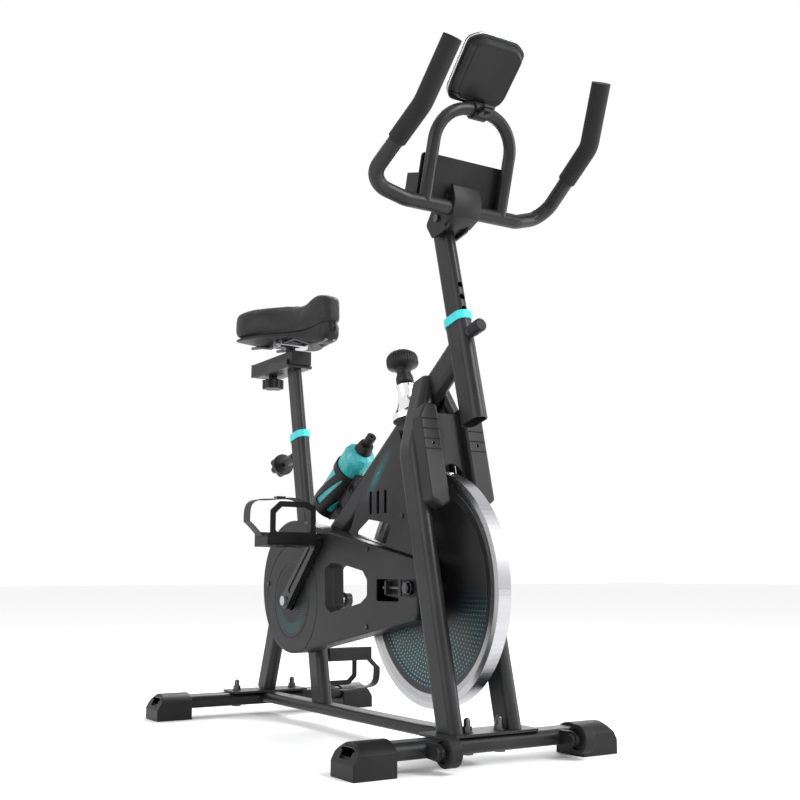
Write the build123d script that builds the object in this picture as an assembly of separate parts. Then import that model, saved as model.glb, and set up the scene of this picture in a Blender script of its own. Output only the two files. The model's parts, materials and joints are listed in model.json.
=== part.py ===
from build123d import *
import math
import os

# Indoor spin bike. Millimetres, +Z up, +X forwards (handlebar end), +Y to the rider's left.
# Places below are measured from the middle of the wheelbase; MID_X moves the finished
# pieces so that the origin is on the floor under the middle of the whole bike.
MID_X = 53.47

# ---------------------------------------------------------------- driving dimensions
WHEELBASE = 754.8
FOOT_WIDTH = 480.0
STAB_LEN, STAB_HIGH, STAB_Z = 50.0, 25.0, 19.0
CAP_LEN, CAP_DEEP, CAP_HIGH, CAP_SILL, CAP_SLOPE = 66.3, 70.7, 46.5, 20.7, 14.7
PLATE_Z, PLATE_T = 44.0, 4.0
RAIL_WIDE, RAIL_HIGH = 40.0, 20.0
OVAL_LONG, OVAL_WIDE, WALL = 50.0, 25.0, 2.0

HEAD_LEAN, HEAD_X, HEAD_Z, HEAD_LEN = 14.1, 366.4, 514.7, 169.4
HEAD_LONG, HEAD_WIDE = 52.0, 27.0
SEAT_LEAN, SEAT_X, SEAT_LEN = 11.7, -127.1, 514.7
DOWN_X, DOWN_Z, DOWN_RISE = 164.0, 518.7, 35.4
FORK_Y, FORK_X, FORK_LEAN = 54.0, 370.6, 13.66

BAR_POST_LONG, BAR_POST_WIDE = 45.0, 20.0
SEAT_POST_LONG, SEAT_POST_WIDE = 42.0, 17.0
POST_WALL, RUN_FIT = 2.0, 0.05

CRANK_X, CRANK_Z, CRANK_LEN, CRANK_RISE = -150.0, 230.5, 160.0, 43.6
PEDAL_LONG, PEDAL_WIDE, PEDAL_THICK = 97.0, 50.0, 27.0
FLY_X, FLY_Z, FLY_R, FLY_THICK = 250.0, 257.5, 188.5, 23.0
BIG_PULLEY_R, SMALL_PULLEY_R, BELT_T, BELT_W, BELT_Y = 90.0, 22.5, 3.0, 10.0, -32.0

GUARD_FACE, GUARD_SPLIT, GUARD_BACK, SKIN = -55.0, -37.0, -17.0, 2.5
GUARD_X, GUARD_Z, GUARD_R, GUARD_NOSE = -152.0, 257.0, 124.0, 285.0

BRAKE_LEAN = 13.8
BAR_R, GRIP_R, LOOP_R = 12.5, 15.2, 10.5
LOOP_LEAN, LOOP_X, LOOP_Z, LOOP_HALF = 16.5, 340.0, 868.0, 75.0

CONSOLE_TILT = 44.0


# ---------------------------------------------------------------- shape helpers
def up_cylinder(radius, height, z=0.0):
    """Cylinder standing on z."""
    return Pos(0, 0, z) * Cylinder(radius, height, align=(Align.CENTER, Align.CENTER, Align.MIN))


def up_cone(bottom, top, height, z=0.0):
    """Cone frustum standing on z."""
    return Pos(0, 0, z) * Cone(bottom, top, height, align=(Align.CENTER, Align.CENTER, Align.MIN))


def cross_cylinder(radius, y_low, y_high, x=0.0, z=0.0):
    """Cylinder along Y between two levels."""
    return Pos(x, y_low, z) * Rot(-90, 0, 0) * up_cylinder(radius, y_high - y_low)


def block(x_low, x_high, y_low, y_high, z_low, z_high):
    """Box given by its limits."""
    size = (x_high - x_low, y_high - y_low, z_high - z_low)
    return Pos(x_low, y_low, z_low) * Box(*size, align=(Align.MIN, Align.MIN, Align.MIN))


def side_plate(sketch, y_low, y_high):
    """Extrude an X-Z outline between two Y levels."""
    return extrude(Plane.XZ.offset(-y_high) * sketch, y_high - y_low, dir=(0, -1, 0))


def rounded(points, radius):
    """Filled polygon with every corner rounded."""
    face = Polygon(*points, align=None)
    return fillet(face.vertices(), radius)


def oval_bar(length, width, height, z=0.0):
    """Flat-oval bar standing on z, long axis along X."""
    return Pos(0, 0, z) * extrude(SlotOverall(length, width), height)


def oval_tube(length, width, wall, height, z=0.0):
    """Flat-oval tube standing on z."""
    inner = oval_bar(length - 2 * wall, width - 2 * wall, height, z)
    return oval_bar(length, width, height, z) - inner


def lean_at(x, z, degrees):
    """Frame whose local +Z leans back from vertical by degrees."""
    return Location((x, 0, z), (0, -degrees, 0))


def swept(path, section):
    """Sweep a section along a path, the section's long axis as near to X as the path allows."""
    tangent = path % 0
    sideways = Vector(1, 0, 0) - tangent * tangent.X
    start = Plane(origin=path @ 0, x_dir=sideways, z_dir=tangent)
    return sweep(start * section, path=path)


def both_sides(shape):
    """A piece and its mirror image across the centre plane."""
    return [shape, mirror(shape, about=Plane.XZ)]


HEAD = lean_at(HEAD_X, HEAD_Z, HEAD_LEAN)
SEAT = lean_at(SEAT_X, PLATE_Z, SEAT_LEAN)
BRAKE = lean_at(FLY_X, FLY_Z, BRAKE_LEAN)
DOWN = Location((DOWN_X, 0, DOWN_Z), (0, 90 - DOWN_RISE, 0))
LOOP = Location((LOOP_X, 0, LOOP_Z), (0, LOOP_LEAN, 0))

nodes = {}


# ---------------------------------------------------------------- base
def stabilizer_bar(x, shrink=0.0):
    """Solid flat-oval bar along Y, the outside of a stabilizer or, shrunk, its inside."""
    bar = oval_bar(STAB_LEN - shrink, STAB_HIGH - shrink, 460)
    return Pos(x, -230, STAB_Z + STAB_HIGH / 2) * Rot(-90, 0, 0) * bar


def stabilizer(x, stud_x, stud_y):
    """Cross tube with its two bolt holes."""
    tube = stabilizer_bar(x) - stabilizer_bar(x, 2 * WALL)
    for y in (-stud_y, stud_y):
        tube -= Pos(stud_x, y, 0) * up_cylinder(4.2, 60)
    return tube


def foot_cap(x):
    """Moulded foot on the -Y end of a stabilizer, sloped on its outer face."""
    half, low, top = CAP_LEN / 2, 34.0, CAP_HIGH + 3.0
    outline = Polyline((-half, 0), (half, 0), (half, low)) + ThreePointArc(
        (half, low), (0, top), (-half, low)) + Line((-half, low), (-half, 0))
    y_out, y_in = -FOOT_WIDTH / 2, -FOOT_WIDTH / 2 + CAP_DEEP
    cap = side_plate(make_face(outline), y_out, y_in)
    slope = Polygon((y_out, CAP_SILL), (y_out + CAP_SLOPE, CAP_HIGH), (y_out + CAP_SLOPE + 3, 60),
                    (y_out - 20, 60), (y_out - 20, CAP_SILL), align=None)
    cap -= Pos(-60, 0, 0) * extrude(Plane.YZ * slope, 120, dir=(1, 0, 0))
    cap = fillet(cap.edges().filter_by(Axis.Z), 2.0)
    face_tilt = math.degrees(math.atan2(CAP_SLOPE, CAP_HIGH - CAP_SILL))
    mid = Location((0, y_out + CAP_SLOPE / 2, (CAP_SILL + CAP_HIGH) / 2), (-face_tilt, 0, 0))
    cap -= mid * Box(30, 8, 15)
    pocket = Pos(0, -230, STAB_Z + STAB_HIGH / 2) * Rot(-90, 0, 0) * oval_bar(
        STAB_LEN, STAB_HIGH, CAP_DEEP)
    return Pos(x, 0, 0) * (cap - pocket)


def stabilizer_bolt(x, y):
    """Carriage bolt up through stabilizer and plate, with washer and domed nut."""
    head = up_cylinder(9, 2.4, STAB_Z - 2.5)
    shank = up_cylinder(4, 36, STAB_Z - 0.2)
    washer = up_cylinder(8.5, 1.6, PLATE_Z + PLATE_T) - up_cylinder(4, 1.6, PLATE_Z + PLATE_T)
    nut = Pos(0, 0, PLATE_Z + PLATE_T + 1.6) * extrude(RegularPolygon(7.5, 6), 7)
    dome = up_cylinder(5.2, 7.5, PLATE_Z + PLATE_T + 8.6)
    dome += Pos(0, 0, PLATE_Z + PLATE_T + 16.1) * Sphere(5.2)
    return Pos(x, y, 0) * (head + shank + washer + nut + dome)


WHEEL_X, WHEEL_Z, WHEEL_R, WHEEL_W = 427.0, 31.0, 22.0, 20.0
WHEEL_FACES = (-105.0, 141.0)
BRACKET_GAP, BRACKET_T = 3.0, 6.0


def wheel_bracket(face_y):
    """Ear on the stabilizer's front with the wheel's shoulder bolt and its nut."""
    outline = rounded([(380, 22), (425, 19), (438, 27), (438, 36), (425, 43), (380, 42)], 4.0)
    y_in = face_y - BRACKET_GAP
    ear = side_plate(outline, y_in - BRACKET_T, y_in)
    bolt = cross_cylinder(4, y_in - 0.2, face_y + WHEEL_W + 6.6, WHEEL_X, WHEEL_Z)
    head = cross_cylinder(8, y_in - BRACKET_T - 5, y_in - BRACKET_T, WHEEL_X, WHEEL_Z)
    spacer = cross_cylinder(7, y_in, face_y - 0.3, WHEEL_X, WHEEL_Z)
    nut_start = face_y + WHEEL_W + 0.4
    nut = Pos(WHEEL_X, nut_start, WHEEL_Z) * Rot(-90, 0, 0) * extrude(RegularPolygon(7.5, 6), 5)
    piece = ear + bolt + head + spacer + nut
    return piece - stabilizer_bar(WHEELBASE / 2)


def transport_wheel(face_y):
    """Wheel with a raised tread and dished sides."""
    wheel = cross_cylinder(WHEEL_R, face_y, face_y + WHEEL_W, WHEEL_X, WHEEL_Z)
    wheel = fillet(wheel.edges().filter_by(GeomType.CIRCLE), 1.5)
    for y_low in (face_y, face_y + WHEEL_W - 3):
        ring = cross_cylinder(16, y_low, y_low + 3, WHEEL_X, WHEEL_Z)
        wheel -= ring - cross_cylinder(8, y_low, y_low + 3, WHEEL_X, WHEEL_Z)
    return wheel - cross_cylinder(4 + RUN_FIT, face_y - 1, face_y + WHEEL_W + 1, WHEEL_X, WHEEL_Z)


FRONT_STUD, REAR_STUD = (380.0, 29.5), (-375.4, 62.1)


def build_base():
    front, rear = WHEELBASE / 2, -WHEELBASE / 2
    rail = Plane((rear, 0, PLATE_Z - RAIL_HIGH / 2), x_dir=(0, 1, 0), z_dir=(1, 0, 0)) * oval_tube(
        RAIL_WIDE, RAIL_HIGH, WALL, WHEELBASE)
    nodes["base_rail"] = rail - stabilizer_bar(front) - stabilizer_bar(rear)
    nodes["stabilizers"] = [stabilizer(front, *FRONT_STUD), stabilizer(rear, *REAR_STUD)]
    nodes["foot_caps"] = both_sides(foot_cap(front)) + both_sides(foot_cap(rear))
    bolts = [stabilizer_bolt(x, side * y) for x, y in (FRONT_STUD, REAR_STUD) for side in (-1, 1)]
    nodes["stabilizer_bolts"] = bolts
    nodes["wheel_brackets"] = [wheel_bracket(y) for y in WHEEL_FACES]
    nodes["transport_wheel_right"] = transport_wheel(WHEEL_FACES[0])
    nodes["transport_wheel_left"] = transport_wheel(WHEEL_FACES[1])


# ---------------------------------------------------------------- frame
HEAD_BAR = HEAD * oval_bar(HEAD_LONG, HEAD_WIDE, HEAD_LEN)
SEAT_BAR = SEAT * oval_bar(OVAL_LONG, OVAL_WIDE, SEAT_LEN, -20)
DOWN_BAR = DOWN * oval_bar(OVAL_LONG, OVAL_WIDE, 640, -425)
LINER_DEPTH, LIP = 110.0, 15.0
BAR_PIN_S, SEAT_PIN_S, PIN_R, HOLE_R, HOLE_PITCH = 143.6, 487.0, 4.0, 5.0, 22.0
SHELL_R, SHELL_WALL, SHELL_Y = 20.0, 3.0, (-14.0, 36.0)
AXLE_R = 8.5


def collar(length, width, lip_length, lip_width, bore, z_top, pin_z, pin_side):
    """Plastic lip on top of a tube with its liner reaching down inside."""
    liner = oval_bar(length, width, LINER_DEPTH, z_top - LINER_DEPTH)
    lip = fillet(oval_bar(lip_length, lip_width, LIP, z_top).edges().group_by(Axis.Z)[-1], 1.5)
    hole = Pos(0, 0, pin_z) * Rot(0, 90 * pin_side, 0) * up_cylinder(HOLE_R + 0.5, 40)
    return liner + lip - oval_bar(bore[0], bore[1], 200, z_top - 150) - hole


def pin_boss(x, z, side, length):
    """Round boss with a bore for a pull pin, standing off a tube's face."""
    boss = up_cylinder(10, length) - up_cylinder(PIN_R + RUN_FIT, length)
    return Pos(x, 0, z) * Rot(0, 90 * side, 0) * boss


def build_frame():
    """Main tubes, their plastic lips and the bottom bracket."""
    long_in, wide_in = HEAD_LONG - 2 * WALL, HEAD_WIDE - 2 * WALL
    head = oval_tube(HEAD_LONG, HEAD_WIDE, WALL, HEAD_LEN)
    head -= Pos(15, 0, BAR_PIN_S) * Rot(0, 90, 0) * up_cylinder(HOLE_R + 0.5, 20)
    main_frame = [HEAD * head, HEAD * pin_boss(HEAD_LONG / 2, BAR_PIN_S, 1, 8)]
    bar_bore = (BAR_POST_LONG + 2 * RUN_FIT, BAR_POST_WIDE + 2 * RUN_FIT)
    bar_collar = HEAD * collar(long_in, wide_in, 56, 31, bar_bore, HEAD_LEN, BAR_PIN_S, 1)
    seat_bore = (SEAT_POST_LONG + 2 * RUN_FIT, SEAT_POST_WIDE + 2 * RUN_FIT)
    seat_collar = SEAT * collar(46, 21, 54, 29, seat_bore, SEAT_LEN, SEAT_PIN_S, -1)
    nodes["tube_collars"] = [bar_collar, seat_collar]

    shell_hole = cross_cylinder(SHELL_R, *SHELL_Y, CRANK_X, CRANK_Z)
    seat = oval_tube(OVAL_LONG, OVAL_WIDE, WALL, SEAT_LEN + 20, -20)
    seat -= Pos(-15, 0, SEAT_PIN_S) * Rot(0, -90, 0) * up_cylinder(HOLE_R + 0.5, 20)
    rail_bar = Plane((-377, 0, PLATE_Z - RAIL_HIGH / 2), x_dir=(0, 1, 0), z_dir=(1, 0, 0)) * oval_bar(
        RAIL_WIDE, RAIL_HIGH, WHEELBASE)
    below = block(-300, 0, -30, 30, -40, PLATE_Z - RAIL_HIGH / 2)
    seat_piece = SEAT * seat - rail_bar - below - shell_hole
    main_frame += [seat_piece, SEAT * pin_boss(-OVAL_LONG / 2, SEAT_PIN_S, -1, 35)]

    down = oval_tube(OVAL_LONG, OVAL_WIDE, WALL, 640, -425)
    rod = BRAKE * up_cylinder(6.5, 200, 240)
    down = DOWN * down - SEAT_BAR - HEAD_BAR - rod - shell_hole
    main_frame.append(down.solids().sort_by(SortBy.VOLUME)[-1])

    shell = shell_hole - cross_cylinder(SHELL_R - SHELL_WALL, *SHELL_Y, CRANK_X, CRANK_Z)
    nodes["main_frame"] = main_frame + [shell]
    cups = []
    for y_low in (SHELL_Y[0], SHELL_Y[1] - 12):
        cup = cross_cylinder(SHELL_R - SHELL_WALL, y_low, y_low + 12, CRANK_X, CRANK_Z)
        cups.append(cup - cross_cylinder(AXLE_R + RUN_FIT, y_low, y_low + 12, CRANK_X, CRANK_Z))
    nodes["crank_bearings"] = cups

    rear_path = FilletPolyline((-368, 0, PLATE_Z + PLATE_T), (-290, 0, 258), (-190, 0, 354.5), radius=60)
    rear = swept(rear_path, SlotOverall(OVAL_LONG, OVAL_WIDE))
    rear -= swept(rear_path, SlotOverall(OVAL_LONG - 2 * WALL, OVAL_WIDE - 2 * WALL))
    floor_cut = block(-440, -300, -30, 30, 0, PLATE_Z + PLATE_T)
    rear -= SEAT_BAR + floor_cut

    fork_path = FilletPolyline((FORK_X + 3, -FORK_Y, 36), (266.1, -FORK_Y, 478), (235.8, -8, 596), radius=60)
    fork_bar = swept(fork_path, SlotOverall(OVAL_LONG, OVAL_WIDE))
    fork = fork_bar - swept(fork_path, SlotOverall(OVAL_LONG - 2 * WALL, OVAL_WIDE - 2 * WALL))
    leg = fork - DOWN_BAR - block(300, 440, -90, 0, 0, PLATE_Z + PLATE_T)
    leg -= block(150, 320, -OVAL_WIDE / 2, 60, 480, 700)
    nodes["frame_legs"] = [rear] + both_sides(leg)

    front_plate = rounded([(340, -92), (402, -92), (402, 92), (340, 92)], 8)
    rear_plate = rounded([(-404, -82), (-338, -82), (-338, 82), (-404, 82)], 8)
    plates = []
    for outline, (x, y) in ((front_plate, FRONT_STUD), (rear_plate, REAR_STUD)):
        plate = Pos(0, 0, PLATE_Z) * extrude(outline, PLATE_T)
        for side in (-1, 1):
            plate -= Pos(x, side * y, 0) * up_cylinder(4.2, 60)
        plates.append(plate)
    nodes["base_rail"] = [nodes["base_rail"]] + plates
    return fork_bar


# ---------------------------------------------------------------- flywheel
AXLE_FLY_R, HUB_R = 6.0, 20.0
PLATE_Y = (-44.0, -39.0)
ADJUSTER_Y = -48.9


def build_flywheel(fork_bar):
    """Flywheel, its hub and pulley, the axle, the dropout plates and the belt adjusters."""
    half = FLY_THICK / 2
    profile = Polygon((HUB_R, -half + 7), (150, -half + 7), (165, -half + 2.5), (178, -half), (FLY_R, -half),
                      (FLY_R, half), (178, half), (165, half - 2.5), (150, half - 7), (HUB_R, half - 7),
                      align=None)
    disc = revolve(Plane.XY * profile, Axis.Y)
    nodes["flywheel"] = Pos(FLY_X, 0, FLY_Z) * disc
    bore = cross_cylinder(AXLE_FLY_R + RUN_FIT, -60, 60, FLY_X, FLY_Z)
    hub = cross_cylinder(HUB_R, -25, 24, FLY_X, FLY_Z) + cross_cylinder(14, -38.5, 38.5, FLY_X, FLY_Z)
    hub += cross_cylinder(SMALL_PULLEY_R, -38, -26, FLY_X, FLY_Z)
    nodes["flywheel_hub"] = hub - bore

    axle = cross_cylinder(AXLE_FLY_R, -57, 57, FLY_X, FLY_Z)
    outline = rounded([(318, 214), (325, 240), (316, 280), (275, 283), (235, 276), (168, 270),
                       (168, 245), (235, 239), (290, 212)], 3.0)
    plate = side_plate(outline, *PLATE_Y) - fork_bar
    plate -= cross_cylinder(AXLE_FLY_R, -60, 0, FLY_X, FLY_Z)
    lug = block(188, 193, -56, PLATE_Y[0], 247, 268)
    lug -= Pos(180, ADJUSTER_Y, FLY_Z) * Rot(0, 90, 0) * up_cylinder(3, 20)
    nodes["dropout_plates"] = both_sides(plate + lug)
    eye = cross_cylinder(10, -50, PLATE_Y[0], FLY_X, FLY_Z) - cross_cylinder(AXLE_FLY_R, -60, 0, FLY_X, FLY_Z)
    shank = Pos(176, ADJUSTER_Y, FLY_Z) * Rot(0, 90, 0) * up_cylinder(3, 65)
    shank -= cross_cylinder(9.5, -60, 0, FLY_X, FLY_Z)
    shank += Pos(182, ADJUSTER_Y, FLY_Z) * Rot(0, 90, 0) * extrude(RegularPolygon(4.8, 6), 6)
    nut = Pos(FLY_X, -50, FLY_Z) * Rot(90, 0, 0) * extrude(RegularPolygon(9.5, 6), 6)
    nut -= cross_cylinder(AXLE_FLY_R, -60, 0, FLY_X, FLY_Z)
    nodes["flywheel_axle"] = [axle] + both_sides(eye + shank) + both_sides(nut)


# ---------------------------------------------------------------- crank, pedals and belt
PEDAL_IN = -78.0
ARM_IN, ARM_OUT = -58.0, -70.0


def crank_arm():
    """Forged arm on the -Y side, boss on the crank axis, pointing along +X."""
    boss = Circle(15)
    tip = Pos(CRANK_LEN, 0) * Circle(12)
    body = side_plate(make_hull(boss.edges() + tip.edges()), ARM_OUT, ARM_IN)
    groove = side_plate(rounded([(24, -5), (CRANK_LEN - 20, -4), (CRANK_LEN - 20, 4), (24, 5)], 3),
                        ARM_OUT, ARM_OUT + 2)
    return body - groove - cross_cylinder(AXLE_R, -100, 0) - cross_cylinder(7, -100, 0, CRANK_LEN)


def pedal_body():
    """Platform pedal with a bearing barrel, side rails and cross treads."""
    y_out, y_in = PEDAL_IN - PEDAL_LONG, PEDAL_IN
    half_x, half_z = PEDAL_WIDE / 2 + 1.5, PEDAL_THICK / 2
    outline = rounded([(-half_x, -half_z), (half_x, -half_z + 3),
                       (half_x, half_z - 3), (-half_x, half_z)], 2.5)
    body = side_plate(outline, y_out, y_in)
    for x_low, x_high in ((-half_x + 6, -12.5), (12.5, half_x - 6)):
        for y_low in (y_out + 10, y_out + 38, y_out + 66):
            body -= block(x_low, x_high, y_low, y_low + 21, -20, 20)
    return body - cross_cylinder(7 + RUN_FIT, y_out + 6, y_in + 1)


def pedal_spindle():
    """Steel spindle screwed into the crank arm's tip."""
    return cross_cylinder(7, PEDAL_IN - PEDAL_LONG + 8, ARM_IN)


def toe_strap():
    """Strap over the foot with its buckle and free end."""
    inner = PEDAL_IN + 1.2
    path = Spline((0, inner, 8.5), (0, inner - 2, 44), (0, inner - 24, 68), (0, -160, 70), (0, -200, 58),
                  (0, -203, 34), (0, -178, 6), tangents=((0, 0, 1), (0, 0.67, -0.74)))
    start = Plane(origin=path @ 0, x_dir=(1, 0, 0), z_dir=path % 0)
    strap = sweep(start * Rectangle(24, 1.8), path=path)
    return strap


def toe_cage():
    """Bent toe stop standing from the pedal's front edge."""
    x_low = PEDAL_WIDE / 2 + 2
    outline = rounded([(PEDAL_IN - 4, -8), (PEDAL_IN - 4, 58), (-100, 66), (-153, 66),
                       (-171, 50), (-171, -8)], 6)
    hole = rounded([(PEDAL_IN - 14, 12), (PEDAL_IN - 14, 50), (-104, 56), (-149, 56),
                    (-161, 45), (-161, 12)], 5)
    return Pos(x_low, 0, 0) * extrude(Plane.YZ * (outline - hole), 2.5)


def crank_side(piece, level):
    """Turn a piece made at the crank's zero angle to its place; level pieces stay upright."""
    swing = Location((CRANK_X, 0, CRANK_Z), (0, -CRANK_RISE, 0))
    place = Vector(CRANK_X, 0, CRANK_Z) + Vector(CRANK_LEN, 0, 0).rotate(Axis.Y, -CRANK_RISE)
    if level:
        return Pos(place.X, 0, place.Z) * piece
    return swing * piece


def opposite(piece):
    """Same piece on the other end of the crank axle."""
    return Pos(2 * CRANK_X, 0, 2 * CRANK_Z) * Rot(0, 180, 0) * mirror(piece, about=Plane.XZ)


def hull_ring(extra):
    """Face round both pulleys, grown by extra."""
    big = Pos(CRANK_X, CRANK_Z) * Circle(BIG_PULLEY_R + extra)
    small = Pos(FLY_X, FLY_Z) * Circle(SMALL_PULLEY_R + extra)
    return make_hull(big.edges() + small.edges())


def build_drive():
    """Crank set, pedals, pulleys and belt."""
    axle = cross_cylinder(AXLE_R, -70, 70, CRANK_X, CRANK_Z)
    nut = cross_cylinder(9, -75, -70, CRANK_X, CRANK_Z)
    nodes["crank_axle"] = [axle] + both_sides(nut)
    arm = crank_side(crank_arm(), False)
    spindle = crank_side(pedal_spindle(), True)
    pedal = [crank_side(pedal_body(), True), crank_side(toe_cage(), True)]
    strap = crank_side(toe_strap(), True)
    nodes["crank_arms"] = [arm, opposite(arm)]
    nodes["pedal_spindles"] = [spindle, opposite(spindle)]
    nodes["pedal_right"] = pedal
    nodes["pedal_left"] = [opposite(piece) for piece in pedal]
    nodes["toe_strap_right"] = strap
    nodes["toe_strap_left"] = opposite(strap)

    wheel = cross_cylinder(BIG_PULLEY_R, -38, -26, CRANK_X, CRANK_Z)
    for y_low, y_high in ((-38, -34), (-30, -26)):
        wheel -= cross_cylinder(BIG_PULLEY_R - 8, y_low, y_high, CRANK_X, CRANK_Z) - cross_cylinder(
            20, y_low, y_high, CRANK_X, CRANK_Z)
    for turn in range(6):
        spot = Pos(CRANK_X, 0, CRANK_Z) * Rot(0, 60 * turn, 0) * cross_cylinder(15, -40, -20, 50)
        wheel -= spot
    nodes["drive_pulley"] = wheel - cross_cylinder(AXLE_R, -40, -20, CRANK_X, CRANK_Z)
    loop = side_plate(hull_ring(0.35 + BELT_T), BELT_Y - BELT_W / 2, BELT_Y + BELT_W / 2)
    nodes["drive_belt"] = loop - side_plate(hull_ring(0.35), -60, 0)


# ---------------------------------------------------------------- guards
def guard_outline(shrink):
    """Teardrop round both pulleys, shrunk inwards."""
    disc = Pos(GUARD_X, GUARD_Z) * Circle(GUARD_R - shrink)
    nose = [Pos(GUARD_NOSE - 14, z) * Circle(14 - shrink) for z in (289.2, 221)]
    return make_hull(disc.edges() + nose[0].edges() + nose[1].edges())


WINDOW = [(-19, 290), (5, 299.5), (41, 297.5), (115, 285), (130, 270), (130, 243), (109, 231),
          (3, 212), (-16, 223)]


def build_guard():
    """Two moulded halves with the window through both."""
    window = rounded(WINDOW, 7)
    tunnel = offset(window, 2.0)
    outer = side_plate(guard_outline(0), GUARD_FACE, GUARD_SPLIT)
    outer = fillet(outer.faces().sort_by(Axis.Y)[0].edges(), 4.0)
    outer -= side_plate(guard_outline(SKIN) - tunnel, GUARD_FACE + SKIN, GUARD_SPLIT)
    outer -= side_plate(window, -60, 0)
    inner = side_plate(guard_outline(0), GUARD_SPLIT, GUARD_BACK)
    inner -= side_plate(guard_outline(SKIN) - tunnel, GUARD_SPLIT, GUARD_BACK - SKIN)
    inner -= side_plate(window, -60, 0)
    outer -= cross_cylinder(18, -60, -50, CRANK_X, CRANK_Z)
    for radius in (70, 104):
        groove = cross_cylinder(radius, GUARD_FACE, GUARD_FACE + 0.8, CRANK_X, CRANK_Z)
        outer -= groove - cross_cylinder(radius - 2, GUARD_FACE, GUARD_FACE + 0.8, CRANK_X, CRANK_Z)
    outer -= side_plate(rounded([(161, 235.5), (230, 235.5), (230, 271.5), (161, 271.5)], 4), -60, -50)
    outer -= block(236, 300, -60, -50, 244, 271)
    slot = block(262, 300, -45, -38, 208, 288)
    inner -= cross_cylinder(24, -25, 0, CRANK_X, CRANK_Z)
    inner -= cross_cylinder(30, -25, 0, FLY_X, FLY_Z)
    nodes["belt_guard_outer"] = outer - slot
    nodes["belt_guard_inner"] = inner - slot


COVER = [(62, 348), (279, 306), (240, 462), (225, 510), (212, 517), (110, 446)]
COVER_FACE = -50.0


def build_covers():
    """Side covers between down tube, fork legs and guard, and the shroud over the flywheel."""
    outline = rounded(COVER, 6)
    skin = side_plate(outline, COVER_FACE, COVER_FACE + SKIN)
    skin += side_plate(outline - offset(outline, -SKIN), COVER_FACE, COVER_FACE + 12)
    window = rounded([(124, 372), (202, 361), (180, 327), (77, 348)], 5)
    skin -= side_plate(window, -60, -30)
    for x in (128, 152, 176):
        slot = rounded([(x, 380), (x + 9, 379), (x + 9, 420), (x, 418)], 3)
        skin -= side_plate(slot, -60, -30)
    nodes["side_covers"] = skin


def build_fender():
    """Shroud in front of the fork legs: two hollow lobes and a panel arched over the flywheel."""
    place = lean_at(340, 383, FORK_LEAN)
    outline = rounded([(25, 8), (40, 0), (62, 14), (62, 150), (48, 174), (25, 174)], 7)
    inner = offset(outline, -SKIN)
    lobe = Pos(-24, 0, 0) * extrude(Plane.YZ * outline, 24)
    lobe = fillet(lobe.faces().sort_by(Axis.X)[-1].edges(), 5)
    lobe -= Pos(-25, 0, 0) * extrude(Plane.YZ * inner, 25 - SKIN)
    lobe -= Pos(-10, 43, 105) * Rot(0, 90, 0) * up_cylinder(2.6, 20)
    for z in (94, 111, 128, 145):
        lobe -= block(-1.2, 1, 20, 70, z, z + 1.6)
    panel = block(-22, -22 + SKIN, -25.5, 25.5, 45, 165)
    arch = block(-30, -10, -20, 20, 30, 58) + Pos(-30, 0, 58) * Rot(0, 90, 0) * up_cylinder(20, 20)
    nodes["flywheel_fender"] = place * (lobe + mirror(lobe, about=Plane.XZ) + panel - arch)


def side_screw(x, z, y_head):
    """Pan-head screw driven inwards from the -Y side."""
    head = cross_cylinder(4.5, y_head - 2, y_head, x, z)
    return head + cross_cylinder(2, y_head, y_head + 8, x, z)


GUARD_SCREWS = ((131, 322), (129, 192), (-250, 262))
COVER_SCREW = (233, 373)


def build_screws():
    """Screws that hold the guard and the side covers, each in its hole."""
    guard = [side_screw(x, z, GUARD_FACE) for x, z in GUARD_SCREWS]
    right = side_screw(*COVER_SCREW, COVER_FACE)
    nodes["cover_screws"] = guard + both_sides(right)
    for x, z in GUARD_SCREWS:
        nodes["belt_guard_outer"] -= cross_cylinder(2, GUARD_FACE - 1, GUARD_FACE + 9, x, z)
    cover = nodes["side_covers"] - cross_cylinder(2, COVER_FACE - 1, COVER_FACE + 9, *COVER_SCREW)
    nodes["side_covers"] = both_sides(cover)


# ---------------------------------------------------------------- bottle and cage
BOTTLE_X, BOTTLE_R, BOTTLE_LOW, BOTTLE_BODY = -70.0, 29.0, -284.0, 142.0


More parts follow.
